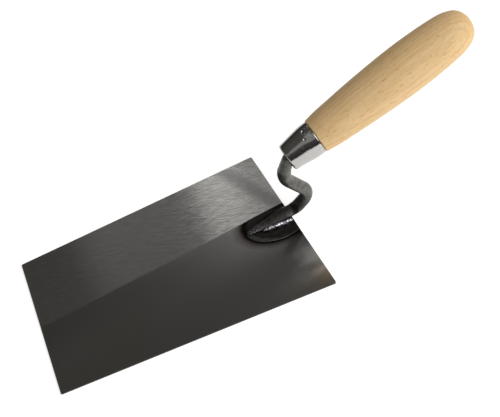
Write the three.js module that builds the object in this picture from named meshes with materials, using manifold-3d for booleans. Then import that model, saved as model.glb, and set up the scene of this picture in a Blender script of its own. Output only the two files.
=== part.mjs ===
// Brick trowel: flat steel blade, S-bent steel neck welded to it, nickelled ferrule and turned beech handle.
// Millimetres, +Z up, toe of the blade toward -X, handle toward +X.
// The origin is the centre of the blade's underside.
import * as THREE from "three";
import Module from "manifold-3d";

const GAP = 0.3; // air left between pieces that touch on the real tool

// Blade
const BLADE_LENGTH = 180;
const HEEL_WIDTH = 128;
const TOE_WIDTH = 107;
const BLADE_THICKNESS = 1.5;
const BLADE_BEVEL = 0.2; // the edges are only deburred

// Handle axis: a straight line in the XZ plane. Distances "along" are measured on it from AXIS_START.
const AXIS_START = new THREE.Vector2(89.2, 55.3); // x, z
const AXIS_TILT = THREE.MathUtils.degToRad(21.9);

// Neck: a round bar that runs straight between these corners (x, z) and is bent to a radius at each
const BAR_RADIUS = 4.5;
const FOOT_TIP_HALF = { width: 1.6, height: 0.7 };
const FOOT_HEEL_HALF = { width: BAR_RADIUS, height: 3.1 };
const FOOT_TIP = new THREE.Vector2(57, BLADE_THICKNESS + GAP + FOOT_TIP_HALF.height);
const FOOT_HEEL = new THREE.Vector2(86, BLADE_THICKNESS + GAP + FOOT_HEEL_HALF.height);
const NECK_BENDS = [
  { corner: FOOT_HEEL, radius: 12 },
  { corner: new THREE.Vector2(93.1, 4.9), radius: 10.5 },
  { corner: new THREE.Vector2(106.2, 16), radius: 8.5 },
  { corner: new THREE.Vector2(86.9, 41), radius: 13 },
  { corner: alongAxis(3.9), radius: 7 },
];
const ROUND_SPAN = [96, 104]; // x + z over which the flattened foot becomes the round bar
const OVAL = 2; // squareness of a ring: 2 is an ellipse, more is squarer
const FOOT_SQUARENESS = 2.3;
const TANG_SQUARENESS = 4;
const TANG_HALF = [3.5, 2]; // half thickness at its start and end
const TANG_SPAN = [12, 74]; // along the handle axis
const DRAWN_FROM = -10; // along the handle axis, where the bar starts to thin toward the tang
const CORNER_ROOM = 8; // below the axis, how far up the bar "along" starts to mean anything

// Ferrule, along the handle axis
const FERRULE_MOUTH = 2.6;
const FERRULE_REAR = 25;
const FERRULE_WALL = 0.6;
const MOUTH_RADIUS = 7.8; // inside the rolled lip
const LIP_RADIUS = 1.5;
const CONE_END = 18.5; // where the cone meets the cylindrical collar
const COLLAR_RADIUS = 11.6;
const STAKE = { along: 20, radius: 1.6, depth: 0.45 }; // punched dimple that locks the ferrule to the wood

// Handle, along the handle axis
const NOSE_START = 8.2;
const NOSE_CHAMFER = 0.6;
const BORE_END = 76;
const BORE_RADII = [5.3, 2.9]; // at the nose and at its end
const SHOULDER_ROUND = [0.35, 0.5]; // radius, along: the wood stands just proud of the ferrule
const HANDLE_PROFILE = [
  // along the axis, radius
  [27, 12.1],
  [34, 13.1],
  [46, 14],
  [62, 15.1],
  [80, 15.9],
  [95, 16.2],
  [109, 15.8],
  [120, 15.1],
  [128, 14.1],
  [134, 12.2],
  [138, 9.4],
  [140.4, 5.2],
  [141.1, 0],
].map(([along, radius]) => new THREE.Vector2(radius, along));

// Weld beads in the corner between the foot and the blade
const BEAD_SPAN = [68, 89]; // x
const BEAD_RADIUS = 1.35;
const BEAD_PITCH = 2.3;
const BEAD_RIPPLE = 0.16;
const BEAD_TIP_RADIUS = 0.25;
const BEAD_TIP_SHAPE = 6; // higher keeps the bead full closer to its ends

// Facets
const TURNED_SEGMENTS = 48;
const BAR_SEGMENTS = 24;
const BAR_STEP = 1.6; // along the bends
const BEAD_SEGMENTS = 10;
const BEAD_STEPS_PER_RIPPLE = 4;
const LIP_STEPS = 6;
const HANDLE_STEPS = 26;
const PUNCH_SEGMENTS = [20, 12];

const STEEL = { color: 0x6f6f6c, roughness: 0.35, metalness: 1 };
const DARK_STEEL = { color: 0x35332f, roughness: 0.4, metalness: 1 };
const WELD = { color: 0x8b8a90, roughness: 0.45, metalness: 1 };
const NICKEL = { color: 0xc9c8c4, roughness: 0.15, metalness: 1 };
const BEECH = { color: 0xd2ac78, roughness: 0.45, metalness: 0 };

const { clamp, lerp, smoothstep } = THREE.MathUtils;

const wasm = await Module();
wasm.setup();

function alongAxis(distance) {
  return new THREE.Vector2(
    AXIS_START.x + distance * Math.cos(AXIS_TILT),
    AXIS_START.y + distance * Math.sin(AXIS_TILT),
  );
}

function mesh(name, geometry, look) {
  const result = new THREE.Mesh(geometry, new THREE.MeshStandardMaterial(look));
  result.name = name;
  return result;
}

// Turns (x, z) corners with bend radii into a smooth list of points.
function bentPath(start, bends, end, step) {
  const points = [start];
  bends.forEach(({ corner, radius }, i) => {
    const before = i === 0 ? start : bends[i - 1].corner;
    const after = i === bends.length - 1 ? end : bends[i + 1].corner;
    const back = before.clone().sub(corner).normalize();
    const ahead = after.clone().sub(corner).normalize();
    const half = Math.acos(back.dot(ahead)) / 2;
    const centre = back.clone().add(ahead).setLength(radius / Math.sin(half)).add(corner);
    const from = back.multiplyScalar(radius / Math.tan(half)).add(corner).sub(centre);
    const to = ahead.multiplyScalar(radius / Math.tan(half)).add(corner).sub(centre);
    const turn = Math.atan2(from.cross(to), from.dot(to));
    const count = Math.ceil((Math.abs(turn) * radius) / step);
    for (let k = 0; k <= count; k += 1) {
      points.push(from.clone().rotateAround(new THREE.Vector2(), (turn * k) / count).add(centre));
    }
  });
  points.push(end);
  return points;
}

// Joins rings of points, each a closed loop of the same length, into one closed body with flat ends.
function loft(rings) {
  const size = rings[0].length;
  const positions = rings.flat().flatMap((p) => [p.x, p.y, p.z]);
  const index = [];
  for (let r = 0; r + 1 < rings.length; r += 1) {
    for (let k = 0; k < size; k += 1) {
      const a = r * size + k;
      const b = r * size + ((k + 1) % size);
      index.push(a, b, a + size, b, b + size, a + size);
    }
  }
  [0, rings.length - 1].forEach((r) => {
    const centre = positions.length / 3;
    const middle = rings[r].reduce((sum, p) => sum.add(p), new THREE.Vector3()).divideScalar(size);
    positions.push(middle.x, middle.y, middle.z);
    for (let k = 0; k < size; k += 1) {
      const a = r * size + k;
      const b = r * size + ((k + 1) % size);
      index.push(...(r === 0 ? [centre, b, a] : [centre, a, b]));
    }
  });
  const geometry = new THREE.BufferGeometry();
  geometry.setAttribute("position", new THREE.Float32BufferAttribute(positions, 3));
  geometry.setIndex(index);
  geometry.computeVertexNormals();
  return geometry;
}

// A lathed body has its profile's y along the handle axis.
function turned(profile, segments) {
  return new THREE.LatheGeometry(profile, segments)
    .rotateZ(-Math.PI / 2)
    .rotateY(-AXIS_TILT)
    .translate(AXIS_START.x, 0, AXIS_START.y);
}

function blade() {
  const heel = BLADE_LENGTH / 2 - BLADE_BEVEL;
  const heelHalf = HEEL_WIDTH / 2 - BLADE_BEVEL;
  const toeHalf = TOE_WIDTH / 2 - BLADE_BEVEL;
  const outline = new THREE.Shape([
    new THREE.Vector2(-heel, -toeHalf),
    new THREE.Vector2(heel, -heelHalf),
    new THREE.Vector2(heel, heelHalf),
    new THREE.Vector2(-heel, toeHalf),
  ]);
  const geometry = new THREE.ExtrudeGeometry(outline, {
    depth: BLADE_THICKNESS - 2 * BLADE_BEVEL,
    bevelEnabled: true,
    bevelThickness: BLADE_BEVEL,
    bevelSize: BLADE_BEVEL,
    bevelSegments: 1,
  });
  geometry.translate(0, 0, BLADE_BEVEL);
  return mesh("blade", geometry, STEEL);
}

// One ring of the neck: half width across Y and half height in the plane of the bend.
function neckRing(point, direction, halfWidth, halfHeight, squareness) {
  const ring = [];
  for (let k = 0; k < BAR_SEGMENTS; k += 1) {
    const angle = (2 * Math.PI * k) / BAR_SEGMENTS;
    const across = halfWidth * superCosine(Math.cos(angle), squareness);
    const up = halfHeight * superCosine(Math.sin(angle), squareness);
    ring.push(new THREE.Vector3(point.x - up * direction.y, across, point.y + up * direction.x));
  }
  return ring;
}

function superCosine(value, squareness) {
  return Math.sign(value) * Math.abs(value) ** (2 / squareness);
}

// The bar is hammered down to a low, narrow foot at one end and drawn down to a square tang at the other.
function neckSection(point, along) {
  if (point.x < FOOT_HEEL.x && point.y < FOOT_HEEL.y) {
    const t = (point.x - FOOT_TIP.x) / (FOOT_HEEL.x - FOOT_TIP.x);
    const halfWidth = lerp(FOOT_TIP_HALF.width, FOOT_HEEL_HALF.width, t ** 0.8);
    const halfHeight = lerp(FOOT_TIP_HALF.height, FOOT_HEEL_HALF.height, t);
    return [halfWidth, halfHeight, FOOT_SQUARENESS];
  }
  const [tangStart, tangEnd] = TANG_SPAN;
  const rise = smoothstep(point.x + point.y, ...ROUND_SPAN);
  const drawnDown = smoothstep(along, DRAWN_FROM, tangStart);
  const taper = clamp((along - tangStart) / (tangEnd - tangStart), 0, 1);
  const size = lerp(lerp(BAR_RADIUS, TANG_HALF[0], drawnDown), TANG_HALF[1], taper);
  const square = smoothstep(along, FERRULE_MOUTH, tangStart);
  return [size, lerp(FOOT_HEEL_HALF.height, size, rise), lerp(OVAL, TANG_SQUARENESS, square)];
}

function neck() {
  const path = bentPath(FOOT_TIP, NECK_BENDS, alongAxis(TANG_SPAN[1]), BAR_STEP);
  const axis = new THREE.Vector2(Math.cos(AXIS_TILT), Math.sin(AXIS_TILT));
  const rings = path.map((point, i) => {
    const before = path[Math.max(i - 1, 0)];
    const after = path[Math.min(i + 1, path.length - 1)];
    const direction = after.clone().sub(before).normalize();
    const above = point.y > AXIS_START.y - CORNER_ROOM ? point.clone().sub(AXIS_START).dot(axis) : -Infinity;
    return neckRing(point, direction, ...neckSection(point, above));
  });
  return mesh("neck", loft(rings), DARK_STEEL);
}

// Rippled bead along one side of the foot, leaning on both the foot and the blade.
function weldBead(name, side) {
  const [first, last] = BEAD_SPAN;
  const stations = Math.round(((last - first) / BEAD_PITCH) * BEAD_STEPS_PER_RIPPLE);
  const rings = [];
  for (let i = 0; i <= stations; i += 1) {
    const t = i / stations;
    const x = lerp(first, last, t);
    const end = Math.sqrt(1 - Math.abs(2 * t - 1) ** BEAD_TIP_SHAPE);
    const ripple = BEAD_RIPPLE * Math.cos((2 * Math.PI * (x - first)) / BEAD_PITCH);
    const radius = Math.max(BEAD_TIP_RADIUS, end * (BEAD_RADIUS + ripple));
    const [footHalf] = neckSection(new THREE.Vector2(Math.min(x, FOOT_HEEL.x - 0.01), 0), -Infinity);
    const y = side * (footHalf + GAP + BEAD_RADIUS + BEAD_RIPPLE);
    const z = BLADE_THICKNESS + GAP + BEAD_RADIUS + BEAD_RIPPLE;
    const ring = [];
    for (let k = 0; k < BEAD_SEGMENTS; k += 1) {
      const angle = (2 * Math.PI * k) / BEAD_SEGMENTS;
      ring.push(new THREE.Vector3(x, y + radius * Math.cos(angle), z + radius * Math.sin(angle)));
    }
    rings.push(ring);
  }
  return mesh(name, loft(rings), WELD);
}

function ferruleProfile() {
  const profile = [];
  for (let k = 0; k <= LIP_STEPS; k += 1) {
    const angle = Math.PI - (Math.PI / 2) * (k / LIP_STEPS);
    profile.push(
      new THREE.Vector2(
        MOUTH_RADIUS + LIP_RADIUS * Math.sin(angle),
        FERRULE_MOUTH + LIP_RADIUS * (1 + Math.cos(angle)),
      ),
    );
  }
  profile.push(new THREE.Vector2(COLLAR_RADIUS, CONE_END));
  profile.push(new THREE.Vector2(COLLAR_RADIUS, FERRULE_REAR));
  profile.push(new THREE.Vector2(COLLAR_RADIUS - FERRULE_WALL, FERRULE_REAR));
  profile.push(new THREE.Vector2(COLLAR_RADIUS - FERRULE_WALL, CONE_END));
  profile.push(new THREE.Vector2(MOUTH_RADIUS + LIP_RADIUS - FERRULE_WALL, FERRULE_MOUTH + LIP_RADIUS));
  profile.push(new THREE.Vector2(MOUTH_RADIUS, FERRULE_MOUTH + FERRULE_WALL));
  profile.push(profile[0].clone());
  return profile;
}

function toManifold(geometry) {
  const welded = new Map();
  const vertices = [];
  const source = geometry.getAttribute("position");
  const order = geometry.index ? Array.from(geometry.index.array) : [...Array(source.count).keys()];
  const triangles = order.map((i) => {
    const point = [source.getX(i), source.getY(i), source.getZ(i)];
    const key = point.map((value) => value.toFixed(4)).join(",");
    if (!welded.has(key)) {
      welded.set(key, vertices.length / 3);
      vertices.push(...point);
    }
    return welded.get(key);
  });
  const solid = [];
  for (let i = 0; i < triangles.length; i += 3) {
    const [a, b, c] = triangles.slice(i, i + 3);
    if (a !== b && b !== c && a !== c) solid.push(a, b, c);
  }
  const body = new wasm.Mesh({
    numProp: 3,
    vertProperties: new Float32Array(vertices),
    triVerts: new Uint32Array(solid),
  });
  return new wasm.Manifold(body);
}

function fromManifold(manifold) {
  const result = manifold.getMesh();
  const geometry = new THREE.BufferGeometry();
  geometry.setAttribute("position", new THREE.Float32BufferAttribute(result.vertProperties, 3));
  geometry.setIndex(Array.from(result.triVerts));
  geometry.computeVertexNormals();
  return geometry;
}

function ferrule() {
  const shell = turned(ferruleProfile(), TURNED_SEGMENTS);
  // the ball whose cap of the stake's radius is as deep as the stake
  const ball = (STAKE.radius ** 2 + STAKE.depth ** 2) / (2 * STAKE.depth);
  const punch = new THREE.SphereGeometry(ball, ...PUNCH_SEGMENTS);
  const at = alongAxis(STAKE.along);
  const reach = COLLAR_RADIUS + ball - STAKE.depth;
  punch.translate(at.x - reach * Math.sin(AXIS_TILT), 0, at.y + reach * Math.cos(AXIS_TILT));
  return mesh("ferrule", fromManifold(toManifold(shell).subtract(toManifold(punch))), NICKEL);
}

function handle() {
  const collarBore = COLLAR_RADIUS - FERRULE_WALL - GAP;
  const coneSlope = (COLLAR_RADIUS - MOUTH_RADIUS - LIP_RADIUS) / (CONE_END - FERRULE_MOUTH - LIP_RADIUS);
  const noseRadius = collarBore - coneSlope * (CONE_END - NOSE_START);
  const shoulder = FERRULE_REAR + GAP;
  const body = new THREE.SplineCurve(HANDLE_PROFILE).getPoints(HANDLE_STEPS);
  body[body.length - 1].x = 0;
  const profile = [
    new THREE.Vector2(0, BORE_END),
    new THREE.Vector2(BORE_RADII[1], BORE_END),
    new THREE.Vector2(BORE_RADII[0], NOSE_START),
    new THREE.Vector2(noseRadius - NOSE_CHAMFER, NOSE_START),
    new THREE.Vector2(noseRadius, NOSE_START + NOSE_CHAMFER),
    new THREE.Vector2(collarBore, CONE_END + GAP),
    new THREE.Vector2(collarBore, shoulder),
    new THREE.Vector2(COLLAR_RADIUS, shoulder),
    new THREE.Vector2(COLLAR_RADIUS + SHOULDER_ROUND[0], shoulder + SHOULDER_ROUND[1]),
    ...body,
  ];
  return mesh("handle", turned(profile, TURNED_SEGMENTS), BEECH);
}

const trowel = new THREE.Group();
trowel.name = "brick_trowel";
trowel.add(blade(), neck(), weldBead("weld_left", 1), weldBead("weld_right", -1), ferrule(), handle());

export default trowel;
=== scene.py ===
# Looks for the brick trowel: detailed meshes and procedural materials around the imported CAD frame.
# Metres, same frame as the CAD: toe of the blade toward -X, handle toward +X, +Z up.
import math

import bpy
from mathutils import Matrix, Vector, noise

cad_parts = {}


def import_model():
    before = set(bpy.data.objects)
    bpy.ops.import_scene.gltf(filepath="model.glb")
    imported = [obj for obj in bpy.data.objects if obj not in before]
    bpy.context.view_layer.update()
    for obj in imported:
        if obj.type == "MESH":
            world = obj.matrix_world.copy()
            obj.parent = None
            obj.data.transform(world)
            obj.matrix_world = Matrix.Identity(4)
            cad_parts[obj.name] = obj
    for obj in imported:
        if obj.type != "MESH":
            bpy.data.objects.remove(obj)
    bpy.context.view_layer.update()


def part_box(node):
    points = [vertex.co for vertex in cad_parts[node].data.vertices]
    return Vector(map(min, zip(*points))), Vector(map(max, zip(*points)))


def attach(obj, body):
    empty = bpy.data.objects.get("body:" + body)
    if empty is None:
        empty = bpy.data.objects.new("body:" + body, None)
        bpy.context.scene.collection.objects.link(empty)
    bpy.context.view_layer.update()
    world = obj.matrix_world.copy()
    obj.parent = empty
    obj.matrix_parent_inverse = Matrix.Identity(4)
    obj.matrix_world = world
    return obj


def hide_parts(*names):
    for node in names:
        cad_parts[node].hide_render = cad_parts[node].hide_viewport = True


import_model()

MM = 0.001
BLADE_LOW, BLADE_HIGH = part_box("blade")
BLADE_TOP = BLADE_HIGH[2]
HEEL = BLADE_HIGH[0]
GAP = 0.3 * MM
TINY = 1e-9  # keeps a divisor above zero

# Camera
CAMERA_AT = (-0.02646, -0.28316, 0.37398)
CAMERA_TURN = [math.radians(a) for a in (39.919, 6.452, -25.006)]
CAMERA_LENS = 50.4
SENSOR_WIDTH = 36.0
CLIP_START = 0.01

# Blade
TOE_WIDTH = 107 * MM
CORNER_RADIUS = 0.9 * MM
CORNER_STEPS = 4
EDGE_BEVEL = 0.22 * MM
# the last grinding pass stopped along a straight line, y = LINE_SLOPE x + LINE_AT
LINE_SLOPE = 0.0822
LINE_AT = 4.5 * MM
# oval weld pad under the foot, dressed off flush beyond that line
PAD_X = 79 * MM
PAD_LONG = 23.6 * MM
PAD_WIDE = 16.2 * MM
PAD_HEIGHT = 0.8 * MM
PAD_SHAPE = 7
PAD_SUNK = 0.05 * MM
LINE_MARGIN = 0.1 * MM
PAD_LUMPS = (2.5 * MM, 0.07 * MM)  # size, height
PAD_SEGMENTS = 120
# shares of the way out to the rim, closer together where the pad falls steeply
PAD_RINGS = [0.2, 0.4, 0.55, 0.68, 0.78, 0.84, 0.885, 0.92, 0.945, 0.965, 0.98, 0.99, 0.996, 1.0]

# Weld beads
BEAD_SPAN = (66.5 * MM, 89.2 * MM)  # x
BEAD_RADIUS = 1.6 * MM
BEAD_GROWTH = (0.75, 1.15)  # share of the radius at the toe end and at the heel end
BEAD_OUTSET = 0.75  # share of the radius between the foot's side and the bead's centre line
BEAD_TIP_SHAPE = 5  # higher keeps the bead full closer to its ends
RIPPLE = 0.3 * MM
RIPPLE_PITCH = 2.1 * MM
RIPPLE_CURL = 0.3  # share of the pitch by which a ripple leans round the bead
BEAD_LUMPS = [(0.9 * MM, 0.28 * MM), (0.4 * MM, 0.12 * MM)]  # size, height
LEAST_BEAD_RADIUS = 0.1 * MM
BEAD_SEGMENTS = 32
BEAD_STATIONS = 220

# Blade finish
BRUSH_TURN = math.radians(12)
GROUND_DARK, GROUND_LIGHT = "8d8b88", "afadab"
DULL_DARK, DULL_LIGHT = "949290", "9c9a98"
DULL_HEEL_LIGHT = "a9a9a9"  # painted light: the unground side is lightest at the heel, standing in for the reflection there
DULL_LINE_SHADE = "7b7976"  # painted shade: and darkest along the line
BLOTCH = "908c86"
DARK_BAND = "7c7a78"
HEAT_TINT = "4a3a30"
SOOT_AND_SHADOW = "1c1917"
EDGE_AND_UNDERSIDE = "4a4846"
GROUND_ROUGH = 0.25
DULL_ROUGH = 0.2
# a darker diagonal band lies along x + slope y = offset, the slope and offset given next
BAND_SLOPE = 0.45
BAND_AT = 92.5 * MM
BAND_HALF = 10 * MM

# Other finishes: sRGB hex codes, in pairs from dark to light
PAD_SCALE = ("23211f", "343230")
PAD_RIM_HIGHLIGHT = "6f6d6a"
PAD_FAR_SHADE = "141312"
UPPER_NECK = ("53524f", "71706b")
SHADED_LOWER_NECK = ("292724", "3d3a37")
NECK_SPECKS = "3a3835"
SPATTER_GLINT = "bdbbc0"
WELD = ("5a585e", "d5d3da")
SHADED_FAR_WELD = "23211f"
NICKEL = ("adaca9", "b9b8b6")
NICKEL_SPOTS = "f4f4f2"
BEECH = ("eac68f", "f0cf9d")
BEECH_RINGS = "cd9d60"
BEECH_FIBRES = "c6924f"
BEECH_FLECKS = "a0632b"
TABLE = ("d6d6d6", "dadada")
PITH = (-34 * MM, 18 * MM)  # y, z of the line that the growth rings run round
RING_RATE = 2400.0  # radians a metre: rings 2.6 mm apart
RING_WAVER = 14.0

# Light: a dim room, a glowing white table, and softboxes as (name, at, target, size, radiance)
ROOM_COLOUR = (1.0, 0.95, 0.89, 1)
ROOM_GLOW = (0.035, 0.14)  # low in the room and high up
ROOM_SPAN = (-0.1, 1.3)  # the glow changes between these, as the height of a unit direction
FLOOR_GLOW = 0.76
FLOOR_HALF = 3.0
FLOOR_DROP = 0.2 * MM
SOFTBOXES = [
    ("key_softbox", (0.66, -0.52, 0.79), (0.12, 0, 0.08), (0.8, 0.8), 4.3),
    ("front_fill", (-0.22, -0.5, 1.15), (0.1, 0, 0.06), (1.1, 1.05), 0.26),
    ("back_card", (0.1, 1.02, 1.0), (0.02, 0.05, 0), (0.42, 0.26), 0.5),
    ("strip", (0.215, 0.685, 0.69), (0.06, 0.07, 0), (0.1, 0.13), 3.4),
    ("heel_card", (0.34, 0.68, 0.69), (0.09, 0.05, 0), (0.12, 0.3), 1.1),
]

# Handle axis, in the XZ plane; "along" is measured from AXIS_START
AXIS_START = Vector((89.2, 55.3)) * MM
AXIS_TILT = math.radians(21.9)
AXIS_DIRECTION = Vector((math.cos(AXIS_TILT), math.sin(AXIS_TILT)))
FAR_FROM_AXIS = -1.0  # "along" for the part of the neck that is nowhere near the axis

# Neck: a bar that runs straight between (x, z) corners and is bent to a radius at each
BAR_RADIUS = 4.5 * MM
FOOT_TIP = Vector((57, 2.5)) * MM
FOOT_HEEL = Vector((86, 4.9)) * MM
FOOT_BEND = 12 * MM
NECK_BENDS = [((93.1, 4.9), 10.5), ((106.2, 16), 8.5), ((86.9, 41), 13)]
LAST_BEND = (3.9 * MM, 7 * MM)  # along the handle axis, radius
FOOT_TIP_HALF = (1.6 * MM, 0.7 * MM)  # half width, half height
FOOT_HEEL_HALF = 3.1 * MM  # half height
FOOT_FLARE = 0.8  # below 1 the foot widens mostly near its tip
FOOT_TIP_SHIFT = -1.6 * MM  # sideways
FOOT_SHIFT_EASE = 1.5
FOOT_LEAN = 0.7  # the crest of the foot is hammered over toward +Y
FOOT_SQUARENESS = 1.5  # of a section: 2 is an ellipse, less is pinched, more is squarer
OVAL = 2
TANG_SQUARENESS = 4
ROUND_SPAN = (96 * MM, 104 * MM)  # x + z over which the flattened foot becomes the round bar
DRAWN_FROM = -10 * MM  # along the handle axis, where the bar starts to thin toward the tang
TANG_START = 12 * MM
TANG_END = 74 * MM
TANG_HALF = (3.5 * MM, 2 * MM)  # half thickness at its start and end
CORNER_ROOM = 8 * MM  # below the axis, how far up the bar "along" starts to mean anything
NECK_LUMPS = (2.2 * MM, 0.09 * MM)  # size, height
NECK_SEGMENTS = 56
NECK_STEP = 0.5 * MM

# Ferrule, along the handle axis
FERRULE_MOUTH = 2.6 * MM
FERRULE_REAR = 25 * MM
FERRULE_WALL = 0.6 * MM
MOUTH_RADIUS = 7.8 * MM
LIP_RADIUS = 1.5 * MM
CONE_END = 18.5 * MM
COLLAR_RADIUS = 11.6 * MM
REAR_CHAMFER = 0.35 * MM
FERRULE_PROFILE = [  # along, radius
    (4.1, 9.3), (7, 9.8), (11, 10.42), (15, 11.02), (18, 11.42), (21, 11.58), (24.65, 11.6),
]
LIP_STEPS = 12
FERRULE_STEPS = 9
FERRULE_SEGMENTS = 288
# punched stake and two small dings: (along, turn from the top toward -Y in degrees, radius, depth)
MARKS = [(20.3, 3, 1.25, 0.75), (18.3, 27, 0.7, 0.4), (23.9, 21, 0.6, 0.25)]
MARK_REACH = 3  # in radii, as are the next two
MARK_LIP_AT = 1.35
MARK_LIP_WIDTH = 0.3
MARK_LIP = 0.12  # share of the depth

# Handle, along the handle axis
NOSE_START = 8.2 * MM
NOSE_CHAMFER = (1 * MM, 0.6 * MM)  # along, radius
BORE_END = 76 * MM
BORE_RADII = (5.3 * MM, 2.9 * MM)  # at the nose and at its end
SHOULDER_ROUND = [(0.12, 0.22), (0.5, 0.32)]  # along and radius, past the ferrule's rear
HANDLE_STEPS = 8
HANDLE_SEGMENTS = 160
LEAST_RADIUS = 0.02 * MM
HANDLE_PROFILE = [  # along, radius
    (27, 12.05), (34, 13.05), (46, 13.95), (62, 15.05), (80, 15.85), (95, 16.12), (109, 15.75),
    (120, 15.05), (128, 14.05), (134, 12.15), (138, 9.35), (140.4, 5.15), (141.05, 0),
]


AXIS_FRAME = Matrix.Translation((AXIS_START.x, 0, AXIS_START.y)) @ Matrix.Rotation(-AXIS_TILT, 4, "Y")


def along_axis(distance):
    return AXIS_START + distance * AXIS_DIRECTION


def lerp(a, b, t):
    return a + (b - a) * t


def smooth(value, low, high):
    t = min(1, max(0, (value - low) / (high - low)))
    return t * t * (3 - 2 * t)


# ---------------------------------------------------------------- meshes

def make_object(name, vertices, faces, node, slot, material, smooth_shading=True):
    mesh = bpy.data.meshes.new(name)
    mesh.from_pydata([tuple(v) for v in vertices], [], faces)
    mesh.validate()
    mesh.polygons.foreach_set("use_smooth", [smooth_shading] * len(mesh.polygons))
    mesh.materials.append(material)
    piece = bpy.data.objects.new(name, mesh)
    bpy.context.scene.collection.objects.link(piece)
    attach(piece, "root")
    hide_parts(node)
    return piece


def turns(segments):
    """Angles round a full circle."""
    return [2 * math.pi * k / segments for k in range(segments)]


def side_faces(ring_count, size):
    """Quads between neighbouring rings of equal length."""
    faces = []
    for r in range(ring_count - 1):
        for k in range(size):
            a, b = r * size + k, r * size + (k + 1) % size
            faces.append((a, b, b + size, a + size))
    return faces


def loft(rings):
    """Vertices and faces of one closed body through rings of equal length, with fan ends."""
    size = len(rings[0])
    vertices = [v for ring in rings for v in ring]
    faces = side_faces(len(rings), size)
    for r in (0, len(rings) - 1):
        centre = len(vertices)
        vertices.append(sum(rings[r], Vector((0, 0, 0))) / size)
        for k in range(size):
            a, b = r * size + k, r * size + (k + 1) % size
            faces.append((centre, b, a) if r == 0 else (centre, a, b))
    return vertices, faces


def lathe(profile, segments):
    """Turns (along, radius) points about local X. Both ends lie on the axis, or the profile is closed."""
    closed = profile[0] == profile[-1]
    points = profile[:-1] if closed else profile
    vertices = []
    starts = []
    for along, radius in points:
        starts.append((len(vertices), radius <= 0))
        count = 1 if radius <= 0 else segments
        for angle in turns(segments)[:count]:
            vertices.append(on_ring(along, radius, angle))
    faces = []
    following = starts[1:] + starts[:1] if closed else starts[1:]
    for (first, first_pole), (second, second_pole) in zip(starts, following):
        for k in range(segments):
            nxt = (k + 1) % segments
            if first_pole:
                faces.append((first, second + nxt, second + k))
            elif second_pole:
                faces.append((first + k, first + nxt, second))
            else:
                faces.append((first + k, first + nxt, second + nxt, second + k))
    return vertices, faces


def on_ring(along, radius, angle):
    """A point of the handle's own frame; the angle is measured from the top toward -Y."""
    return Vector((along, -radius * math.sin(angle), radius * math.cos(angle)))


def spline(points, per_span):
    """Catmull-Rom points through (along, radius) pairs."""
    padded = [points[0]] + list(points) + [points[-1]]
    result = []
    for i in range(len(points) - 1):
        p0, p1, p2, p3 = (Vector(padded[i + j]) for j in range(4))
        for k in range(per_span):
            t = k / per_span
            v = 0.5 * (2 * p1 + (p2 - p0) * t + (2 * p0 - 5 * p1 + 4 * p2 - p3) * t**2
                       + (3 * p1 - p0 - 3 * p2 + p3) * t**3)
            result.append((v.x, max(v.y, LEAST_RADIUS)))
    result.append(tuple(points[-1]))
    return result


def bent_path(start, bends, end, step):
    """(x, z) points along straight runs joined by bends, each a (corner, radius)."""
    corners = [start] + [corner for corner, _ in bends] + [end]
    points = [start.copy()]
    for i, (corner, radius) in enumerate(bends, 1):
        back = (corners[i - 1] - corner).normalized()
        ahead = (corners[i + 1] - corner).normalized()
        half = math.acos(back.dot(ahead)) / 2
        centre = corner + (back + ahead).normalized() * radius / math.sin(half)
        first = corner + back * radius / math.tan(half) - centre
        last = corner + ahead * radius / math.tan(half) - centre
        turn = math.atan2(first.x * last.y - first.y * last.x, first.dot(last))
        add_run(points, centre + first, step)
        count = math.ceil(abs(turn) * radius / step)
        for k in range(1, count + 1):
            points.append(centre + Matrix.Rotation(turn * k / count, 2) @ first)
    add_run(points, end, step)
    return points


def add_run(points, end, step):
    begin = points[-1].copy()
    count = math.ceil((end - begin).length / step)
    for k in range(1, count + 1):
        points.append(begin.lerp(end, k / count))


def lumps(point, size, height):
    """A height that wavers over the given size."""
    return noise.noise(point / size) * height


def blade_piece(material):
    half = (HEEL - BLADE_LOW[0]) / 2
    corners = [(-half, -TOE_WIDTH / 2), (half, BLADE_LOW[1]), (half, BLADE_HIGH[1]), (-half, TOE_WIDTH / 2)]
    outline = []
    for i, corner in enumerate(corners):
        here = Vector(corner)
        back = (Vector(corners[i - 1]) - here).normalized()
        ahead = (Vector(corners[(i + 1) % 4]) - here).normalized()
        for k in range(CORNER_STEPS + 1):
            t = k / CORNER_STEPS
            outline.append(here + back * CORNER_RADIUS * (1 - t) ** 2 + ahead * CORNER_RADIUS * t**2)
    levels = [(0, EDGE_BEVEL), (EDGE_BEVEL, 0), (BLADE_TOP - EDGE_BEVEL, 0), (BLADE_TOP, EDGE_BEVEL)]
    vertices = []
    for z, inset in levels:
        for v in outline:
            vertices.append(Vector((v.x * (1 - inset / half), v.y * (1 - inset / BLADE_HIGH[1]), z)))
    size = len(outline)
    underside = tuple(range(size - 1, -1, -1))
    top = tuple(range(len(vertices) - size, len(vertices)))
    faces = [underside, top] + side_faces(len(levels), size)
    return make_object("blade_plate", vertices, faces, "blade", "blade_steel", material,
                       smooth_shading=False)


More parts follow.
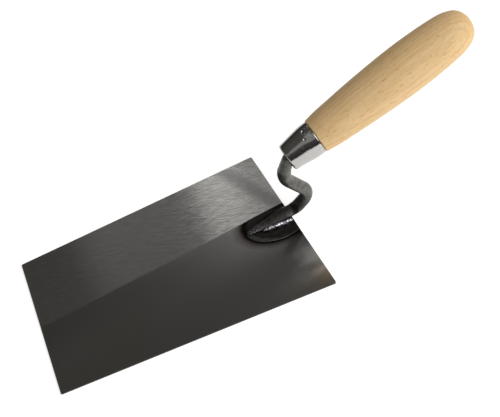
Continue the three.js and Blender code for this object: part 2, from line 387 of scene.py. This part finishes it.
def pad_piece(material):
    """The low oval pad of weld scale under the foot, cut straight along the ground line and the heel."""
    line_room = LINE_SLOPE * PAD_X + LINE_AT - LINE_MARGIN
    heel_room = HEEL - EDGE_BEVEL - PAD_X
    rings = []
    for fraction in PAD_RINGS:
        ring = []
        for angle in turns(PAD_SEGMENTS):
            ray = Vector((PAD_LONG * math.cos(angle), PAD_WIDE * math.sin(angle)))
            to_line = line_room / max(TINY, ray.y - LINE_SLOPE * ray.x)
            to_heel = heel_room / max(TINY, ray.x)
            reach = fraction * min(1, to_line, to_heel)
            height = PAD_HEIGHT * math.sqrt(max(0, 1 - reach**PAD_SHAPE))
            point = Vector((PAD_X + ray.x * reach, ray.y * reach, BLADE_TOP + height))
            point.z += lumps(point, *PAD_LUMPS) * (1 - fraction)
            ring.append(point)
        rings.append(ring)
    sunk = BLADE_TOP - PAD_SUNK
    rings.append([Vector((p.x, p.y, sunk)) for p in rings[-1]])
    vertices, faces = loft(rings)
    return make_object("weld_pad", vertices, faces, "blade", "blade_steel", material)


def neck_section(point, along):
    """Half width, half height, squareness, sideways shift and sideways lean of the bar."""
    if point.x < FOOT_HEEL.x and point.y < FOOT_HEEL.y:
        t = max(0, (point.x - FOOT_TIP.x) / (FOOT_HEEL.x - FOOT_TIP.x))
        wide = lerp(FOOT_TIP_HALF[0], BAR_RADIUS, t**FOOT_FLARE)
        high = lerp(FOOT_TIP_HALF[1], FOOT_HEEL_HALF, t)
        shift = FOOT_TIP_SHIFT * (1 - t) ** FOOT_SHIFT_EASE
        return wide, high, FOOT_SQUARENESS, shift, FOOT_LEAN
    rise = smooth(point.x + point.y, *ROUND_SPAN)
    drawn = smooth(along, DRAWN_FROM, TANG_START)
    taper = min(1, max(0, (along - TANG_START) / (TANG_END - TANG_START)))
    size = lerp(lerp(BAR_RADIUS, TANG_HALF[0], drawn), TANG_HALF[1], taper)
    squared = smooth(along, FERRULE_MOUTH, TANG_START)
    squareness = lerp(FOOT_SQUARENESS, OVAL, rise) + (TANG_SQUARENESS - OVAL) * squared
    return size, lerp(FOOT_HEEL_HALF, size, rise), squareness, 0, FOOT_LEAN * (1 - rise)


def super_power(value, squareness):
    return math.copysign(abs(value) ** (2 / squareness), value)


def neck_piece(material):
    bends = [(FOOT_HEEL, FOOT_BEND)]
    bends += [(Vector(corner) * MM, radius * MM) for corner, radius in NECK_BENDS]
    bends.append((along_axis(LAST_BEND[0]), LAST_BEND[1]))
    path = bent_path(FOOT_TIP, bends, along_axis(TANG_END), NECK_STEP)
    rings = []
    for i, point in enumerate(path):
        direction = (path[min(i + 1, len(path) - 1)] - path[max(i - 1, 0)]).normalized()
        near_axis = point.y > AXIS_START.y - CORNER_ROOM
        along = (point - AXIS_START).dot(AXIS_DIRECTION) if near_axis else FAR_FROM_AXIS
        wide, high, squareness, shift, lean = neck_section(point, along)
        ring = []
        for angle in turns(NECK_SEGMENTS):
            up = high * super_power(math.sin(angle), squareness)
            across = wide * super_power(math.cos(angle), squareness) + shift + lean * max(0, up)
            place = Vector((point.x - up * direction.y, across, point.y + up * direction.x))
            centre = Vector((point.x, shift, point.y))
            place += (place - centre).normalized() * lumps(place, *NECK_LUMPS)
            ring.append(place)
        rings.append(ring)
    return make_object("neck_bar", *loft(rings), "neck", "neck_steel", material)


def weld_piece(name, node, side, material):
    """A hand-laid bead of overlapping ripples, with rough crests."""
    first, last = BEAD_SPAN
    foot_end = FOOT_HEEL.x - 0.01 * MM  # just inside the foot, so that the section is still the foot's
    rings = []
    for i in range(BEAD_STATIONS + 1):
        t = i / BEAD_STATIONS
        x = lerp(first, last, t)
        end = math.sqrt(max(0, 1 - abs(2 * t - 1) ** BEAD_TIP_SHAPE))
        grow = lerp(*BEAD_GROWTH, t)
        foot_half, _, _, shift, _ = neck_section(Vector((min(x, foot_end), 0)), FAR_FROM_AXIS)
        y = side * (foot_half + BEAD_RADIUS * BEAD_OUTSET) + shift
        z = BLADE_TOP + BEAD_RADIUS
        ring = []
        for angle in turns(BEAD_SEGMENTS):
            phase = (x - first) / RIPPLE_PITCH + RIPPLE_CURL * math.cos(angle)
            ripple = RIPPLE * (0.5 - phase % 1)
            radius = end * (BEAD_RADIUS * grow + ripple)
            place = Vector((x, y + radius * math.cos(angle), z + radius * math.sin(angle)))
            rough = sum(lumps(place, size, height) for size, height in BEAD_LUMPS)
            radius = max(LEAST_BEAD_RADIUS, radius + end * rough)
            ring.append(Vector((x, y + radius * math.cos(angle), z + radius * math.sin(angle))))
        rings.append(ring)
    return make_object(name, *loft(rings), node, "weld_metal", material)


def punch(vertices, along, turn, radius, depth):
    """Pushes a round mark with a raised lip into the ferrule."""
    centre = on_ring(along, COLLAR_RADIUS, turn)
    inward = Vector((0, -centre.y, -centre.z)).normalized()
    for v in vertices:
        reach = (v - centre).length / radius
        if reach < MARK_REACH:
            lip = MARK_LIP * math.exp(-((reach - MARK_LIP_AT) / MARK_LIP_WIDTH) ** 2)
            v += inward * depth * (math.exp(-reach**4) - lip)


def ferrule_piece(material):
    outer = []
    for k in range(LIP_STEPS + 1):
        angle = math.pi / 2 * k / LIP_STEPS
        along = FERRULE_MOUTH + LIP_RADIUS * (1 - math.cos(angle))
        outer.append((along, MOUTH_RADIUS + LIP_RADIUS * math.sin(angle)))
    outer += spline([(a * MM, r * MM) for a, r in FERRULE_PROFILE], FERRULE_STEPS)[1:]
    inner = [
        (FERRULE_REAR, COLLAR_RADIUS - REAR_CHAMFER),
        (FERRULE_REAR, COLLAR_RADIUS - FERRULE_WALL),
        (CONE_END, COLLAR_RADIUS - FERRULE_WALL),
        (FERRULE_MOUTH + LIP_RADIUS, MOUTH_RADIUS + LIP_RADIUS - FERRULE_WALL),
        (FERRULE_MOUTH + FERRULE_WALL, MOUTH_RADIUS),
    ]
    vertices, faces = lathe(outer + inner + outer[:1], FERRULE_SEGMENTS)
    for along, turn, radius, depth in MARKS:
        punch(vertices, along * MM, math.radians(turn), radius * MM, depth * MM)
    vertices = [AXIS_FRAME @ v for v in vertices]
    return make_object("ferrule_shell", vertices, faces, "ferrule", "ferrule_nickel", material)


def handle_piece(material):
    slope = (COLLAR_RADIUS - MOUTH_RADIUS - LIP_RADIUS) / (CONE_END - FERRULE_MOUTH - LIP_RADIUS)
    collar_bore = COLLAR_RADIUS - FERRULE_WALL - GAP
    nose = collar_bore - slope * (CONE_END - NOSE_START)
    shoulder = FERRULE_REAR + GAP
    profile = [
        (BORE_END, 0),
        (BORE_END, BORE_RADII[1]),
        (NOSE_START, BORE_RADII[0]),
        (NOSE_START, nose - NOSE_CHAMFER[1]),
        (NOSE_START + NOSE_CHAMFER[0], nose),
        (CONE_END, collar_bore),
        (shoulder, collar_bore),
        (shoulder, COLLAR_RADIUS),
    ]
    profile += [(shoulder + a * MM, COLLAR_RADIUS + r * MM) for a, r in SHOULDER_ROUND]
    profile += spline([(a * MM, r * MM) for a, r in HANDLE_PROFILE], HANDLE_STEPS)
    profile[-1] = (profile[-1][0], 0)
    vertices, faces = lathe(profile, HANDLE_SEGMENTS)
    vertices = [AXIS_FRAME @ v for v in vertices]
    return make_object("handle_wood", vertices, faces, "handle", "handle_beech", material)


# ---------------------------------------------------------------- materials

class Shader:
    """A material with short ways to add nodes. Inputs may be numbers, colours or another node's output."""

    def __init__(self, name):
        self.material = bpy.data.materials.new(name)
        self.material.use_nodes = True
        self.tree = self.material.node_tree
        self.surface = self.tree.nodes["Principled BSDF"]

    def node(self, kind, inputs=None, **settings):
        made = self.tree.nodes.new("ShaderNode" + kind)
        for key, value in settings.items():
            setattr(made, key, value)
        self.fill(made, inputs or {})
        return made

    def fill(self, node, inputs):
        for key, value in inputs.items():
            if isinstance(value, bpy.types.NodeSocket):
                self.tree.links.new(value, node.inputs[key])
            else:
                node.inputs[key].default_value = value

    def math(self, operation, *values):
        return self.node("Math", dict(enumerate(values)), operation=operation).outputs[0]

    def place(self):
        return self.node("TexCoord").outputs["Object"]

    def axis_place(self):
        """Coordinates of the handle's own frame, X along its axis."""
        return self.node("Mapping", {"Vector": self.place(), "Location": (AXIS_START.x, 0, AXIS_START.y),
                                     "Rotation": (0, -AXIS_TILT, 0)}, vector_type="TEXTURE").outputs[0]

    def split(self, vector):
        return self.node("SeparateXYZ", {"Vector": vector}).outputs

    def stretch(self, vector, scale, turn=(0, 0, 0)):
        return self.node("Mapping", {"Vector": vector, "Scale": scale, "Rotation": turn}).outputs[0]

    def noise(self, vector, scale=1.0, detail=3.0, roughness=0.5):
        return self.node("TexNoise", {"Vector": vector, "Scale": scale, "Detail": detail,
                                      "Roughness": roughness}).outputs["Fac"]

    def ramp(self, value, low, high, to_low=0.0, to_high=1.0):
        made = self.node("MapRange", {"Value": value, "From Min": low, "From Max": high,
                                      "To Min": to_low, "To Max": to_high}, interpolation_type="SMOOTHSTEP")
        return made.outputs["Result"]

    def mix(self, factor, first, second):
        made = self.node("Mix", data_type="RGBA")
        for socket, value in ((made.inputs[0], factor), (made.inputs[6], first), (made.inputs[7], second)):
            if isinstance(value, bpy.types.NodeSocket):
                self.tree.links.new(value, socket)
            else:
                socket.default_value = value
        return made.outputs[2]

    def bump(self, height, strength, distance):
        made = self.node("Bump", {"Height": height, "Strength": strength, "Distance": distance})
        self.fill(self.surface, {"Normal": made.outputs[0]})


def rgb(hex_colour):
    """Linear colour of an sRGB hex code."""
    parts = [int(hex_colour[i:i + 2], 16) / 255 for i in (0, 2, 4)]
    return tuple(p / 12.92 if p <= 0.04045 else ((p + 0.055) / 1.055) ** 2.4 for p in parts) + (1.0,)


def oval_distance(s, place):
    """1 at the rim of the weld pad, growing outward."""
    x, y, _ = s.split(place)
    across = s.math("DIVIDE", y, PAD_WIDE)
    lengthwise = s.math("DIVIDE", s.math("SUBTRACT", x, PAD_X), PAD_LONG)
    return s.math("SQRT", s.math("ADD", s.math("MULTIPLY", across, across),
                                 s.math("MULTIPLY", lengthwise, lengthwise)))


def blade_material():
    s = Shader("ground_steel")
    place = s.place()
    x, y, z = s.split(place)
    line = s.math("SUBTRACT", y, s.math("MULTIPLY_ADD", x, LINE_SLOPE, LINE_AT))
    ground = s.ramp(line, -0.25 * MM, 0.25 * MM)
    unground = s.math("SUBTRACT", 1.0, ground)
    grain = s.stretch(place, (1, 1, 1), (0, 0, BRUSH_TURN))
    streaks = s.noise(s.stretch(grain, (150, 1500, 1500)), 1.0, 3.0, 0.6)
    fine = s.noise(s.stretch(grain, (260, 3400, 3400)), 1.0, 2.0, 0.6)
    blotches = s.noise(s.stretch(place, (18, 30, 30)), 1.0, 3.0, 0.5)
    # heat tint round the weld pad, and soot with a painted contact shadow just outside its rim, ground away
    # beyond the line
    waver = s.math("MULTIPLY_ADD", s.noise(s.stretch(place, (110, 110, 110))), 0.1, -0.05)
    oval = s.math("ADD", oval_distance(s, place), waver)
    halo = s.math("MULTIPLY", s.ramp(oval, 1.42, 1.05), unground)
    soot_and_shadow = s.math("MULTIPLY", s.ramp(oval, 1.15, 1.03), unground)
    # the grinding marks grow deeper toward the heel and fade on the unground side
    depth = s.ramp(x, -10 * MM, 45 * MM, 0.3, 1.0)
    streak = s.math("MULTIPLY_ADD", s.math("SUBTRACT", streaks, 0.5), depth, 0.5)
    worn = s.mix(s.ramp(streak, 0.33, 0.67), rgb(GROUND_DARK), rgb(GROUND_LIGHT))
    dull = s.mix(s.ramp(streaks, 0.2, 0.8), rgb(DULL_DARK), rgb(DULL_LIGHT))
    dull = s.mix(s.ramp(blotches, 0.35, 0.7, 0.0, 0.5), dull, rgb(BLOTCH))
    # painted light: lighter toward the heel
    dull = s.mix(s.ramp(x, -45 * MM, 75 * MM), dull, rgb(DULL_HEEL_LIGHT))
    # painted shade: darker toward the line
    dull = s.mix(s.ramp(line, -34 * MM, 0.0, 0.0, 0.6), dull, rgb(DULL_LINE_SHADE))
    # a darker diagonal band across the corner by the handle
    band_line = s.math("MULTIPLY_ADD", y, BAND_SLOPE, s.math("SUBTRACT", x, BAND_AT))
    dark_band = s.ramp(s.math("ABSOLUTE", band_line), BAND_HALF, 1 * MM, 0.0, 0.75)
    worn = s.mix(dark_band, worn, rgb(DARK_BAND))
    steel = s.mix(ground, dull, worn)
    tinted = s.mix(s.math("MULTIPLY", halo, 0.85), steel, rgb(HEAT_TINT))
    coloured = s.mix(soot_and_shadow, tinted, rgb(SOOT_AND_SHADOW))
    on_top = s.ramp(z, BLADE_TOP - 0.25 * MM, BLADE_TOP - 0.15 * MM)
    coloured = s.mix(on_top, rgb(EDGE_AND_UNDERSIDE), coloured)
    rough = s.math("MULTIPLY_ADD", ground, GROUND_ROUGH - DULL_ROUGH, DULL_ROUGH)
    rough = s.math("MULTIPLY_ADD", s.math("SUBTRACT", fine, 0.5), 0.06, rough)
    s.fill(s.surface, {"Base Color": coloured, "Metallic": 1.0, "Roughness": rough, "Anisotropic": 0.9,
                       "Tangent": s.node("CombineXYZ", {"X": unground, "Y": ground}).outputs[0]})
    # scratches hardly show on the unground side
    scratches = s.math("MULTIPLY", s.math("MULTIPLY_ADD", fine, 0.6, streaks), depth)
    s.bump(s.math("MULTIPLY", scratches, s.math("MULTIPLY_ADD", ground, 0.96, 0.04)), 0.12, 0.02 * MM)
    return s.material


def pad_material():
    s = Shader("weld_scale")
    place = s.place()
    mottle = s.noise(s.stretch(place, (260, 420, 420)), 1.0, 4.0, 0.6)
    grains = s.noise(s.stretch(place, (1400, 1400, 1400)), 1.0, 2.0, 0.6)
    colour = s.mix(s.ramp(mottle, 0.35, 0.65), rgb(PAD_SCALE[0]), rgb(PAD_SCALE[1]))
    # painted highlight: the rim toward the toe is lightened, standing in for the reflection of the white
    # table
    x, y, _ = s.split(place)
    rim_highlight = s.math("MULTIPLY", s.ramp(oval_distance(s, place), 0.8, 0.93), s.ramp(x, 84 * MM, 66 * MM))
    rim_highlight = s.math("MULTIPLY", rim_highlight, s.ramp(y, 0.0, -4 * MM))
    colour = s.mix(rim_highlight, colour, rgb(PAD_RIM_HIGHLIGHT))
    # painted shade: darker in the corner beyond the neck
    colour = s.mix(s.ramp(y, -5 * MM, 3 * MM, 0.0, 0.7), colour, rgb(PAD_FAR_SHADE))
    rough = s.math("ADD", s.ramp(mottle, 0.3, 0.7, 0.24, 0.38), s.ramp(x, 76 * MM, 88 * MM, 0.0, 0.35))
    s.fill(s.surface, {"Base Color": colour, "Metallic": 1.0, "Roughness": rough,
                       "Coat Weight": 0.1, "Coat Roughness": 0.3})
    s.bump(s.math("MULTIPLY_ADD", grains, 0.3, mottle), 0.3, 0.08 * MM)
    return s.material


def neck_material():
    s = Shader("dark_forged_steel")
    place = s.place()
    mottle = s.noise(s.stretch(place, (260, 260, 260)), 1.0, 4.0, 0.6)
    grains = s.noise(s.stretch(place, (1500, 1500, 1500)), 1.0, 3.0, 0.7)
    x, _, z = s.split(place)
    # painted shade: the foot and the lower run are darker
    low_shade = s.ramp(s.math("MULTIPLY_ADD", mottle, 6 * MM, z), 24 * MM, 13 * MM)
    upper_steel = s.mix(s.ramp(mottle, 0.35, 0.7), rgb(UPPER_NECK[0]), rgb(UPPER_NECK[1]))
    shaded_lower_steel = s.mix(s.ramp(mottle, 0.35, 0.7), rgb(SHADED_LOWER_NECK[0]), rgb(SHADED_LOWER_NECK[1]))
    colour = s.mix(low_shade, upper_steel, shaded_lower_steel)
    colour = s.mix(s.ramp(grains, 0.56, 0.74, 0.0, 0.7), colour, rgb(NECK_SPECKS))
    # weld spatter on the tip of the foot, painted bright as glints
    spatter_glint = s.math("MULTIPLY", s.ramp(grains, 0.54, 0.64), s.ramp(x, 74 * MM, 62 * MM))
    colour = s.mix(spatter_glint, colour, rgb(SPATTER_GLINT))
    s.fill(s.surface, {"Base Color": colour, "Metallic": 0.7,
                       "Roughness": s.ramp(mottle, 0.2, 0.8, 0.36, 0.48),
                       "Coat Weight": 0.25, "Coat Roughness": 0.15})
    s.bump(s.math("MULTIPLY_ADD", grains, 0.3, mottle), 0.3, 0.1 * MM)
    return s.material


def weld_material():
    s = Shader("weld_bead")
    place = s.place()
    patches = s.noise(s.stretch(place, (420, 700, 700)), 1.0, 3.0, 0.6)
    colour = s.mix(s.ramp(patches, 0.35, 0.6), rgb(WELD[0]), rgb(WELD[1]))
    # painted shade: the far bead, beyond the neck, is darkened
    _, y, _ = s.split(place)
    colour = s.mix(s.ramp(y, 2 * MM, -2 * MM), rgb(SHADED_FAR_WELD), colour)
    s.fill(s.surface, {"Base Color": colour, "Metallic": 1.0,
                       "Roughness": s.ramp(patches, 0.3, 0.7, 0.46, 0.3)})
    s.bump(patches, 0.4, 0.12 * MM)
    return s.material


def ferrule_material():
    s = Shader("nickel_plate")
    place = s.axis_place()
    dents = s.noise(s.stretch(place, (110, 200, 200)), 1.0, 2.0, 0.5)
    scuffs = s.noise(s.stretch(place, (90, 700, 700)), 1.0, 3.0, 0.6)
    spots = s.noise(s.stretch(place, (500, 700, 700)), 1.0, 2.0, 0.5)
    along, _, _ = s.split(place)
    rear = s.ramp(along, 14 * MM, 25 * MM, 0.0, 0.25)
    colour = s.mix(scuffs, rgb(NICKEL[0]), rgb(NICKEL[1]))
    colour = s.mix(s.math("MULTIPLY", rear, s.ramp(spots, 0.55, 0.7)), colour, rgb(NICKEL_SPOTS))
    s.fill(s.surface, {"Base Color": colour, "Metallic": 1.0,
                       "Roughness": s.math("ADD", s.ramp(scuffs, 0.3, 0.8, 0.09, 0.2),
                                           s.ramp(spots, 0.6, 0.72, 0.0, 0.15))})
    s.bump(dents, 0.3, 0.25 * MM)
    return s.material


def wood_material():
    s = Shader("beech")
    place = s.axis_place()
    _, y, z = s.split(place)
    # growth rings round a pith line outside the handle, wavering along the grain
    drift = s.noise(s.stretch(place, (6, 30, 30)), 1.0, 2.0, 0.5)
    off_y = s.math("SUBTRACT", y, PITH[0])
    off_z = s.math("SUBTRACT", z, PITH[1])
    square = s.math("ADD", s.math("MULTIPLY", off_y, off_y), s.math("MULTIPLY", off_z, off_z))
    turned = s.math("MULTIPLY", s.math("SQRT", square), RING_RATE)
    rings = s.math("SINE", s.math("MULTIPLY_ADD", drift, RING_WAVER, turned))
    fibres = s.noise(s.stretch(place, (28, 1500, 1500)), 1.0, 4.0, 0.65)
    flecks = s.noise(s.stretch(place, (260, 2600, 2600)), 1.0, 1.0, 0.4)
    cloud = s.noise(s.stretch(place, (14, 60, 60)), 1.0, 2.0, 0.5)
    base = s.mix(cloud, rgb(BEECH[0]), rgb(BEECH[1]))
    base = s.mix(s.math("MULTIPLY_ADD", rings, 0.1, 0.1), base, rgb(BEECH_RINGS))
    base = s.mix(s.ramp(fibres, 0.45, 0.75, 0.0, 0.4), base, rgb(BEECH_FIBRES))
    base = s.mix(s.ramp(flecks, 0.66, 0.72, 0.0, 0.65), base, rgb(BEECH_FLECKS))
    s.fill(s.surface, {"Base Color": base, "Roughness": s.ramp(fibres, 0.3, 0.8, 0.42, 0.55),
                       "Specular IOR Level": 0.22})
    s.bump(s.math("ADD", fibres, flecks), 0.12, 0.05 * MM)
    return s.material


def floor_material():
    s = Shader("white_table")
    soft = s.noise(s.stretch(s.place(), (3, 3, 3)), 1.0, 2.0, 0.5)
    s.fill(s.surface, {"Base Color": s.mix(soft, rgb(TABLE[0]), rgb(TABLE[1])), "Roughness": 0.9,
                       "Emission Color": (1, 1, 1, 1), "Emission Strength": FLOOR_GLOW})
    return s.material


# ---------------------------------------------------------------- stage

def softbox(name, at, target, size, radiance):
    data = bpy.data.lights.new(name, "AREA")
    data.shape = "RECTANGLE"
    data.size, data.size_y = size
    data.energy = radiance * math.pi * size[0] * size[1]
    light = bpy.data.objects.new(name, data)
    light.location = at
    light.rotation_euler = (Vector(target) - Vector(at)).to_track_quat("-Z", "Y").to_euler()
    bpy.context.scene.collection.objects.link(light)


def floor_piece(material):
    corners = [(x * FLOOR_HALF, y * FLOOR_HALF, 0) for x, y in ((-1, -1), (1, -1), (1, 1), (-1, 1))]
    mesh = bpy.data.meshes.new("table_top")
    mesh.from_pydata(corners, [], [(0, 1, 2, 3)])
    mesh.materials.append(material)
    table = bpy.data.objects.new("table_top", mesh)
    table.location.z = -FLOOR_DROP
    bpy.context.scene.collection.objects.link(table)


def camera():
    data = bpy.data.cameras.new("camera")
    data.lens = CAMERA_LENS
    data.sensor_width = SENSOR_WIDTH
    data.clip_start = CLIP_START
    eye = bpy.data.objects.new("camera", data)
    eye.location = CAMERA_AT
    eye.rotation_euler = CAMERA_TURN
    bpy.context.scene.collection.objects.link(eye)
    bpy.context.scene.camera = eye


def world():
    made = bpy.data.worlds.new("studio")
    made.use_nodes = True
    tree = made.node_tree
    background = tree.nodes["Background"]
    background.inputs["Color"].default_value = ROOM_COLOUR
    direction = tree.nodes.new("ShaderNodeTexCoord").outputs["Generated"]
    height = tree.nodes.new("ShaderNodeSeparateXYZ")
    tree.links.new(direction, height.inputs[0])
    glow = tree.nodes.new("ShaderNodeMapRange")
    glow.interpolation_type = "SMOOTHSTEP"
    glow.inputs["From Min"].default_value = ROOM_SPAN[0]
    glow.inputs["From Max"].default_value = ROOM_SPAN[1]
    glow.inputs["To Min"].default_value = ROOM_GLOW[0]
    glow.inputs["To Max"].default_value = ROOM_GLOW[1]
    tree.links.new(height.outputs[2], glow.inputs["Value"])
    tree.links.new(glow.outputs["Result"], background.inputs["Strength"])
    bpy.context.scene.world = made


camera()
world()
bpy.context.scene.view_settings.view_transform = "Standard"
floor_piece(floor_material())
for light in SOFTBOXES:
    softbox(*light)

blade_piece(blade_material())
pad_piece(pad_material())
neck_piece(neck_material())
weld_metal = weld_material()
weld_piece("weld_bead_left", "weld_left", 1, weld_metal)
weld_piece("weld_bead_right", "weld_right", -1, weld_metal)
ferrule_piece(ferrule_material())
handle_piece(wood_material())

bpy.context.view_layer.update()
